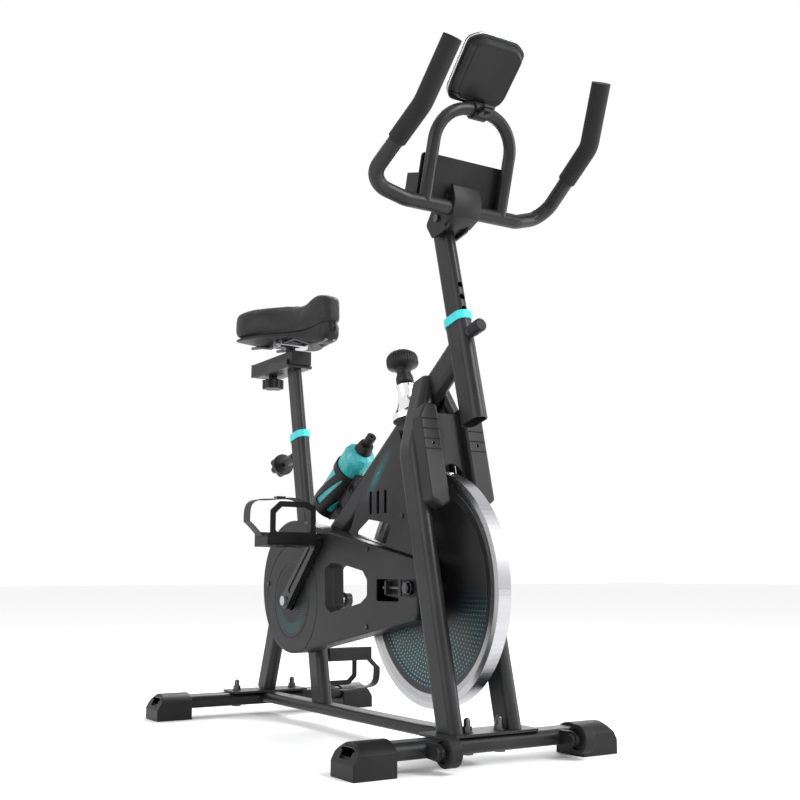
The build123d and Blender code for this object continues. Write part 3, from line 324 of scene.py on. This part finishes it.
def foam_paint():
    p = Paint("foam_grip")
    pores = p.cells(700.0)
    cloud = p.noise(24.0, 4.0)
    clouded(p, cloud, (0.0060, 0.0060, 0.0064), (0.0105, 0.0105, 0.0110))
    p.put(p.shader.inputs["Roughness"], p.fit(cloud, 0.3, 0.7, 0.62, 0.78))
    p.put(p.shader.inputs["Normal"], p.bump(pores, 0.35, 0.0006))
    p.shader.inputs["Sheen Weight"].default_value = 0.04
    p.shader.inputs["Specular IOR Level"].default_value = 0.20
    return p


def strap_paint():
    """Woven webbing: ribs across a strap."""
    p = Paint("webbing")
    out = p.xyz()
    ribs = p.math("SINE", p.math("MULTIPLY", out[0], 4200.0))
    cross = p.math("SINE", p.math("MULTIPLY", p.math("ADD", out[1], out[2]), 3600.0))
    weave = p.math("MULTIPLY", ribs, cross)
    p.put(p.shader.inputs["Base Color"], p.mix(p.fit(weave, -1.0, 1.0, 0.0, 1.0),
          colour(0.0050, 0.0050, 0.0055), colour(0.016, 0.016, 0.017)))
    p.shader.inputs["Roughness"].default_value = 0.62
    p.put(p.shader.inputs["Normal"], p.bump(weave, 0.35, 0.0004))
    return p


def screen_paint():
    p = Paint("lcd_screen")
    out = p.xyz()
    lines = p.math("SINE", p.math("MULTIPLY", out[1], 9000.0))
    p.put(p.shader.inputs["Base Color"], p.mix(p.fit(lines, -1.0, 1.0, 0.0, 1.0),
          colour(0.020, 0.024, 0.022), colour(0.032, 0.038, 0.034)))
    p.put(p.shader.inputs["Roughness"], p.fit(p.noise(40.0), 0.3, 0.7, 0.05, 0.12))
    return p


def felt_paint():
    p = Paint("brake_felt")
    fibre = p.noise(900.0, 6.0, 0.8)
    p.put(p.shader.inputs["Base Color"], p.mix(fibre, colour(0.10, 0.09, 0.08), colour(0.22, 0.20, 0.18)))
    p.shader.inputs["Roughness"].default_value = 0.95
    p.put(p.shader.inputs["Normal"], p.bump(fibre, 0.5, 0.0008))
    return p


PAINTS = {
    "frame_paint": body_paint("powder_coat", (0.0105, 0.0105, 0.0112), 0.36, 750.0, 0.16, 0.35, 0.0012, 0.08),
    "plate_paint": body_paint("powder_coat_plate", (0.0100, 0.0100, 0.0106), 0.40, 750.0, 0.18, 0.45, 0.0010),
    "black_plastic": body_paint("moulded_black", (0.0062, 0.0062, 0.0066), 0.42, 1000.0, 0.20, 0.30, 0.0014),
    "guard_plastic": guard_paint(),
    "turquoise_plastic": body_paint("turquoise_lip", (0.035, 0.47, 0.50), 0.30, 900.0, 0.06,
                                    0.10, 0.001, 0.2),
    "bottle_plastic": bottle_paint(),
    "rubber": body_paint("tyre_rubber", (0.0070, 0.0070, 0.0070), 0.62, 600.0, 0.30, 0.15, 0.0012),
    "foam": foam_paint(),
    "steel": metal_paint("zinc_steel", (0.52, 0.52, 0.54), 0.30),
    "chrome": metal_paint("chrome", (0.86, 0.86, 0.87), 0.07),
    "flywheel_metal": flywheel_paint(),
    "crank_paint": body_paint("crank_black", (0.0060, 0.0060, 0.0064), 0.26, 700.0, 0.08, 0.5, 0.001, 0.3),
    "saddle_cover": leather_paint(),
    "strap": strap_paint(),
    "felt": felt_paint(),
    "screen": screen_paint(),
    "belt": body_paint("belt_rubber", (0.015, 0.015, 0.015), 0.7, 500.0, 0.2, 0.1, 0.0008),
    "console_plastic": body_paint("console_back", (0.0048, 0.0048, 0.0052), 0.36, 1200.0, 0.14, 0.2, 0.0014),
    "bezel_plastic": body_paint("console_front", (0.0050, 0.0050, 0.0054), 0.20, 1500.0, 0.05,
                                0.2, 0.0014, 0.4),
}
COVER = cover_paint()
PULLEY = metal_paint("cast_pulley", (0.34, 0.34, 0.35), 0.42, 0.1)
DARK_BOLT = metal_paint("black_oxide", (0.10, 0.10, 0.105), 0.35)
OVERRIDE = {"side_covers": COVER, "drive_pulley": PULLEY, "flywheel_fender": COVER,
            "stabilizer_bolts": DARK_BOLT, "stem_bolts": DARK_BOLT, "flywheel_axle": DARK_BOLT,
            "saddle_rails": DARK_BOLT}

for name, node in NODES.items():
    paint = OVERRIDE.get(name, PAINTS[SUBPARTS[name]])
    for index in range(len(node.material_slots)):
        node.material_slots[index].material = paint.material


# ---------------------------------------------------------------- mesh helpers
def new_object(name, mesh, paint, body, smooth=True):
    obj = bpy.data.objects.new(name, mesh)
    bpy.context.scene.collection.objects.link(obj)
    mesh.materials.clear()
    mesh.materials.append(paint.material)
    if smooth:
        mesh.polygons.foreach_set("use_smooth", [True] * len(mesh.polygons))
    if body:
        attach(obj, body)
    return obj


def mesh_from(verts, faces, name):
    mesh = bpy.data.meshes.new(name)
    mesh.from_pydata([tuple(v) for v in verts], [], faces)
    mesh.update()
    return mesh


def apply_modifiers(obj):
    """Bake an object's modifiers into its mesh."""
    graph = bpy.context.evaluated_depsgraph_get()
    baked = bpy.data.meshes.new_from_object(obj.evaluated_get(graph))
    obj.modifiers.clear()
    obj.data = baked
    return obj


# ---------------------------------------------------------------- saddle
def slope(table, i):
    """Slope of a table at one of its points, level at both ends."""
    if i in (0, len(table) - 1):
        return 0.0
    return (table[i + 1][1] - table[i - 1][1]) / (table[i + 1][0] - table[i - 1][0])


def interpolate(table, x):
    """Smooth value between a table's points."""
    x = min(max(x, table[0][0]), table[-1][0])
    for i in range(len(table) - 1):
        (x0, v0), (x1, v1) = table[i], table[i + 1]
        if x <= x1:
            w = x1 - x0
            t = (x - x0) / w
            ends = v0 * (1 + 2 * t) * (1 - t) ** 2 + v1 * t * t * (3 - 2 * t)
            return ends + w * (slope(table, i) * t * (1 - t) ** 2 - slope(table, i + 1) * t * t * (1 - t))


# Layout x with half width, or with height, along the saddle from rear to nose.
SADDLE_WIDTH = [(-384, 50), (-376, 78), (-352, 96), (-318, 98), (-285, 84), (-245, 54), (-190, 33),
                (-130, 27), (-106, 23), (-95, 10)]
SADDLE_TOP = [(-384, 818), (-370, 825), (-330, 827), (-254, 824), (-205, 819), (-172, 821),
              (-136, 828), (-112, 825), (-95, 814)]
SADDLE_LOW = [(-384, 768), (-340, 762), (-240, 762), (-180, 760), (-95, 764)]
PAN_LOW = [(-384, 764), (-340, 757), (-250, 757), (-200, 747), (-160, 733), (-112, 731), (-95, 748)]


def saddle_mesh(top_of, low_of, inset, square, crown):
    """Closed form lofted from rear to nose between two height tables."""
    rear, nose = SADDLE_WIDTH[0][0], SADDLE_WIDTH[-1][0]
    rows, around = 45, 48
    stations = [rear + i * ((nose - rear) / (rows - 1)) for i in range(rows)]
    verts, faces = [], []
    for x in stations:
        width = interpolate(SADDLE_WIDTH, x) - inset
        top = top_of(x)
        low = low_of(x)
        for k in range(around):
            a = 2 * math.pi * k / around
            c, s = math.cos(a), math.sin(a)
            y = width * math.copysign(abs(c) ** square, c)
            middle = 0.5 * (top + low)
            z = middle + (top - middle) * math.copysign(abs(s) ** square, s)
            if s > 0:
                z -= crown * (y / width) ** 2 * (width / 98) * s
                z -= crown * math.exp(-(y / 9) ** 2) * max(0.0, min(1.0, (-190 - x) / 60)) * s
            verts.append(at(x, y, z))
    for i in range(len(stations) - 1):
        for k in range(around):
            n = (k + 1) % around
            faces.append((i * around + k, i * around + n, (i + 1) * around + n, (i + 1) * around + k))
    faces.append(tuple(range(around)))
    last = (len(stations) - 1) * around
    faces.append(tuple(last + k for k in reversed(range(around))))
    return mesh_from(verts, faces, "saddle_form")


def inflate(obj, voxel, pressure, cap):
    """Remesh, blow up a little as cloth, cap the movement and keep the result."""
    remesh = obj.modifiers.new("remesh", "REMESH")
    remesh.mode = "VOXEL"
    remesh.voxel_size = voxel
    apply_modifiers(obj)
    rest = [v.co.copy() for v in obj.data.vertices]
    group = obj.vertex_groups.new(name="held")
    low = min(v.z for v in rest)
    for i, v in enumerate(rest):
        if v.z < low + 0.004:
            group.add([i], 1.0, "REPLACE")
    cloth = obj.modifiers.new("cloth", "CLOTH")
    cloth.settings.use_pressure = True
    cloth.settings.uniform_pressure_force = pressure
    cloth.settings.vertex_group_mass = "held"
    cloth.settings.effector_weights.gravity = 0.0
    cloth.point_cache.frame_start = 1
    cloth.point_cache.frame_end = 20
    scene = bpy.context.scene
    for number in range(1, 21):
        scene.frame_set(number)
    graph = bpy.context.evaluated_depsgraph_get()
    moved = [v.co.copy() for v in obj.evaluated_get(graph).data.vertices]
    obj.modifiers.clear()
    for v, a, b in zip(obj.data.vertices, rest, moved):
        d = b - a
        v.co = a + (d if d.length < cap else d * (cap / d.length))
    scene.frame_set(1)
    smooth = obj.modifiers.new("smooth", "SMOOTH")
    smooth.factor = 0.5
    smooth.iterations = 4
    fine = obj.modifiers.new("fine", "SUBSURF")
    fine.levels = 1
    fine.render_levels = 1
    return apply_modifiers(obj)


def sew(obj, height_of, depth, width):
    """Press a seam round the side where the top panel meets the side panel."""
    for v in obj.data.vertices:
        x = (v.co.x + MID_X) * 1000
        z = v.co.z * 1000
        off = (z - height_of(x)) / width
        side = abs(v.normal.z) < 0.9
        if side and abs(off) < 3:
            v.co -= v.normal * depth * math.exp(-off * off)


saddle = new_object("saddle_pad", saddle_mesh(lambda x: interpolate(SADDLE_TOP, x) - 2.5,
                    lambda x: interpolate(SADDLE_LOW, x), 2.5, 0.34, 3.5),
                    PAINTS["saddle_cover"], None)
inflate(saddle, 0.005, 4.0, 0.005)
sew(saddle, lambda x: interpolate(SADDLE_LOW, x) + 7.0, 0.0012, 1.3)
sew(saddle, lambda x: 0.3 * interpolate(SADDLE_LOW, x) + 0.7 * interpolate(SADDLE_TOP, x), 0.0007, 1.2)
saddle.data.polygons.foreach_set("use_smooth", [True] * len(saddle.data.polygons))
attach(saddle, "saddle")
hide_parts("saddle_cushion")

pan = new_object("saddle_pan", saddle_mesh(lambda x: interpolate(SADDLE_LOW, x) + 6.0,
                 lambda x: interpolate(PAN_LOW, x), 5.0, 0.55, 0.0),
                 PAINTS["black_plastic"], "saddle")
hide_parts("saddle_base")


# ---------------------------------------------------------------- turned and moulded details
def lathe(name, profile, origin, axis, ribs=0, depth=0.0, ribbed=(0.0, 0.0), around=96):
    """Closed form turned from (radius, height) points about an axis, with ribs between two heights."""
    turn = axis.to_track_quat("Z", "Y").to_matrix()
    verts, faces = [], []
    for radius, height in profile:
        inside = ribs and ribbed[0] <= height <= ribbed[1]
        for k in range(around):
            a = 2 * math.pi * k / around
            r = radius - (depth * (0.5 - 0.5 * math.cos(ribs * a)) ** 4 if inside else 0.0)
            verts.append(origin + turn @ Vector((r * math.cos(a), r * math.sin(a), height)))
    for i in range(len(profile) - 1):
        for k in range(around):
            n = (k + 1) % around
            faces.append((i * around + k, i * around + n, (i + 1) * around + n, (i + 1) * around + k))
    faces.append(tuple(reversed(range(around))))
    last = (len(profile) - 1) * around
    faces.append(tuple(last + k for k in range(around)))
    return mesh_from(verts, faces, name)


def along_axis(node, origin, axis):
    """Lowest and highest place of a CAD node along an axis, and its largest radius."""
    heights, radii = [], []
    for v in NODES[node].data.vertices:
        d = v.co - origin
        h = d.dot(axis)
        heights.append(h)
        radii.append((d - axis * h).length)
    return min(heights), max(heights), max(radii)


def resistance_knob():
    """Mushroom knob with a finger-ribbed edge and a domed top."""
    axis = Vector((-math.sin(BRAKE_LEAN), 0, math.cos(BRAKE_LEAN)))
    low, high, wide = along_axis("brake_knob", FLY, axis)
    tall = high - low
    shape = [(0.50, 0.0), (0.54, 0.03), (0.55, 0.16), (0.44, 0.30), (0.46, 0.40), (0.66, 0.46), (0.92, 0.50),
             (0.985, 0.54), (1.0, 0.58), (1.0, 0.70), (0.985, 0.75), (0.92, 0.82), (0.76, 0.90), (0.5, 0.96),
             (0.25, 0.99), (0.05, 1.0)]
    profile = [(wide * r, low + tall * h) for r, h in shape]
    mesh = lathe("knob_form", profile, FLY, axis, 36, 0.0014, (low + 0.52 * tall, low + 0.77 * tall), 216)
    knob = new_object("ribbed_knob", mesh, PAINTS["black_plastic"], "resistance_knob")
    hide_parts("brake_knob")


def louvre(side):
    """Slatted liner seen through the side cover's slots."""
    verts, faces = [], []
    columns = 24
    for i in range(columns + 1):
        x = 118 + 76 * i / columns
        deep = 1.2 * math.cos(2 * math.pi * i / 4)
        for z in (374, 425):
            for y in (45.5, 44.0):
                verts.append(at(x, side * (y + deep), z))
    for i in range(columns):
        a, b = 4 * i, 4 * (i + 1)
        faces += [(a, b, b + 2, a + 2), (a + 1, a + 3, b + 3, b + 1)]
        faces += [(a, a + 1, b + 1, b), (a + 2, b + 2, b + 3, a + 3)]
    last = 4 * columns
    faces += [(0, 2, 3, 1), (last, last + 1, last + 3, last + 2)]
    name = "vent_liner_right" if side < 0 else "vent_liner_left"
    new_object(name, mesh_from(verts, faces, name), PAINTS["black_plastic"], "frame")


def moulded(name, points, y_low, y_high, bevel, slot_name, body):
    """Side profile pushed across the bike, with rounded edges."""
    count = len(points)
    verts = [at(x, y, z) for y in (y_low, y_high) for x, z in points]
    faces = [tuple(range(count)), tuple(reversed(range(count, 2 * count)))]
    faces += [(k, k + count, (k + 1) % count + count, (k + 1) % count) for k in range(count)]
    obj = new_object(name, mesh_from(verts, faces, name), PAINTS[slot_name], None)
    work = bmesh.new()
    work.from_mesh(obj.data)
    bmesh.ops.recalc_face_normals(work, faces=work.faces)
    work.to_mesh(obj.data)
    work.free()
    edge = obj.modifiers.new("edge", "BEVEL")
    edge.width = bevel
    edge.segments = 3
    apply_modifiers(obj)
    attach(obj, body)
    return obj


CONSOLE_FRONT = [(-44, 4), (44, 4), (55, 20), (57, 106), (36, 119), (-36, 119), (-57, 106), (-55, 20)]
CONSOLE_BACK = [(-38, 12), (38, 12), (47, 26), (48, 101), (31, 112), (-31, 112), (-48, 101), (-47, 26)]


def softened(corners, radius, steps=5):
    """Corner points with each corner rounded off."""
    path = []
    for (y0, z0), (y1, z1), (y2, z2) in zip(corners[-1:] + corners[:-1], corners, corners[1:] + corners[:1]):
        before, here, after = Vector((y0, z0)), Vector((y1, z1)), Vector((y2, z2))
        start = here + (before - here).normalized() * radius
        end = here + (after - here).normalized() * radius
        for k in range(steps):
            t = k / (steps - 1)
            path.append(start * (1 - t) ** 2 + here * 2 * t * (1 - t) + end * t * t)
    return path


def console_point(out, y, z):
    """Point in the console's own tilted frame: out of its back, across and up."""
    p = CONSOLE_PIVOT + Matrix.Rotation(CONSOLE_LEAN, 3, "Y") @ Vector((out, y, z))
    return at(p.x, p.y, p.z)


def console_slab(name, corners, levels, slot_name, *nodes):
    """Layered shell half: each level is a depth and how far the outline shrinks there."""
    outline = softened(corners, 9)
    centre = Vector((0, 62))
    verts = []
    for depth, shrink in levels:
        for spot in outline:
            v = spot - centre
            v = centre + v * (1 - shrink / v.length)
            verts.append(console_point(depth, v.x, v.y))
    count = len(outline)
    faces = [tuple(range(count)), tuple(reversed(range((len(levels) - 1) * count, len(levels) * count)))]
    for i in range(len(levels) - 1):
        for k in range(count):
            n = (k + 1) % count
            faces.append((i * count + n, i * count + k, (i + 1) * count + k, (i + 1) * count + n))
    mesh = mesh_from(verts, faces, name)
    obj = new_object(name, mesh, PAINTS[slot_name], "console", smooth=False)
    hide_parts(*nodes)


def console_rim():
    """Bright trim line round the console where its front half meets the back."""
    points = [console_point(-0.8, spot.x, spot.y) for spot in softened(CONSOLE_FRONT, 9)]
    verts, faces = tube_points(points, 0.0011, 8)
    new_object("console_rim", mesh_from(verts, faces, "console_rim"), PAINTS["steel"], "console")


def tube_points(points, radius, around):
    """Closed tube through a ring of points."""
    verts, faces = [], []
    count = len(points)
    for i, here in enumerate(points):
        along = (points[(i + 1) % count] - points[i - 1]).normalized()
        side = along.orthogonal().normalized() if i == 0 else (side - along * side.dot(along)).normalized()
        other = along.cross(side)
        for k in range(around):
            a = 2 * math.pi * k / around
            verts.append(here + radius * (math.cos(a) * side + math.sin(a) * other))
    for i in range(count):
        j = (i + 1) % count
        for k in range(around):
            n = (k + 1) % around
            faces.append((i * around + k, i * around + n, j * around + n, j * around + k))
    return verts, faces


def strap_buckle(node, body, name):
    """Small ladder buckle on top of a toe strap."""
    low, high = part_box(node)
    centre = Vector((0.5 * (low.x + high.x), 0.5 * (low.y + high.y), high.z))
    verts, faces = [], []
    for bar in (-1, 0, 1):
        ring = [centre + Vector((dx, bar * 0.006 + dy, dz)) for dx, dy, dz in
                ((-0.009, -0.0016, -0.0006), (0.009, -0.0016, -0.0006), (0.009, 0.0016, -0.0006),
                 (-0.009, 0.0016, -0.0006), (-0.009, -0.001, 0.0022), (0.009, -0.001, 0.0022),
                 (0.009, 0.001, 0.0022), (-0.009, 0.001, 0.0022))]
        k = len(verts)
        verts += ring
        faces += [(k, k + 3, k + 2, k + 1), (k + 4, k + 5, k + 6, k + 7), (k, k + 1, k + 5, k + 4),
                  (k + 1, k + 2, k + 6, k + 5), (k + 2, k + 3, k + 7, k + 6), (k + 3, k, k + 4, k + 7)]
    mesh = mesh_from(verts, faces, name)
    new_object(name, mesh, PAINTS["black_plastic"], body, smooth=False)


resistance_knob()
louvre(-1)
louvre(1)
console_slab("console_front", CONSOLE_FRONT, [(-8.4, 3), (-7.6, 1), (-6, 0), (-1.5, 0), (0, 1.5)],
             "bezel_plastic", "console_bezel")
console_slab("console_back", CONSOLE_BACK, [(-1, -4), (4, -2), (12, 0), (15.5, 1.5), (17, 4)],
             "console_plastic", "console_housing")
console_rim()
moulded("stem_shroud", [(322, 842), (350, 853), (357, 878), (351, 904), (345, 907), (341, 884), (328, 862)],
        -27, 27, 0.0015, "black_plastic", "handlebar_mast")
strap_buckle("toe_strap_right", "right_pedal", "strap_buckle_right")
strap_buckle("toe_strap_left", "left_pedal", "strap_buckle_left")


# ---------------------------------------------------------------- stage, light and camera
def floor():
    mesh = bpy.data.meshes.new("floor")
    mesh.from_pydata([(-30, -30, 0), (30, -30, 0), (30, 30, 0), (-30, 30, 0)], [], [(0, 1, 2, 3)])
    obj = bpy.data.objects.new("floor", mesh)
    bpy.context.scene.collection.objects.link(obj)
    p = Paint("pale_floor")
    p.shader.inputs["Base Color"].default_value = colour(0.92, 0.92, 0.92)
    p.shader.inputs["Roughness"].default_value = 0.75
    mesh.materials.append(p.material)


def area(name, place, aim, size, power):
    data = bpy.data.lights.new(name, "AREA")
    data.shape = "RECTANGLE"
    data.size, data.size_y = size
    data.energy = power
    obj = bpy.data.objects.new(name, data)
    obj.location = place
    obj.rotation_euler = (Vector(aim) - Vector(place)).to_track_quat("-Z", "Y").to_euler()
    bpy.context.scene.collection.objects.link(obj)


floor()
area("key", (2.6, 0.9, 2.4), (0.0, 0.0, 0.6), (1.2, 1.8), 85)
area("fill", (0.2, -3.0, 1.4), (0.0, 0.0, 0.5), (2.4, 2.0), 38)
area("rim", (-2.2, 1.6, 2.2), (0.0, 0.0, 0.7), (1.5, 1.5), 60)
area("side", (1.4, 2.6, 1.2), (0.0, 0.0, 0.6), (1.4, 1.8), 40)

world = bpy.data.worlds.new("studio")
bpy.context.scene.world = world
world.use_nodes = True
world.node_tree.nodes["Background"].inputs[0].default_value = colour(1.0, 1.0, 1.0)
world.node_tree.nodes["Background"].inputs[1].default_value = 1.0
bpy.context.scene.view_settings.view_transform = "Standard"

camera = bpy.data.objects.new("camera", bpy.data.cameras.new("camera"))
bpy.context.scene.collection.objects.link(camera)
camera.data.lens = 50
camera.data.sensor_width = 36
camera.location = at(1764.0, -1019.1, 276.1)
AZIMUTH, ELEVATION = math.radians(57.774), math.radians(-9.009)
back = Vector((math.sin(AZIMUTH) * math.cos(ELEVATION), -math.cos(AZIMUTH) * math.cos(ELEVATION),
               math.sin(ELEVATION)))
camera.rotation_euler = (-back).to_track_quat("-Z", "Y").to_euler()
bpy.context.scene.camera = camera
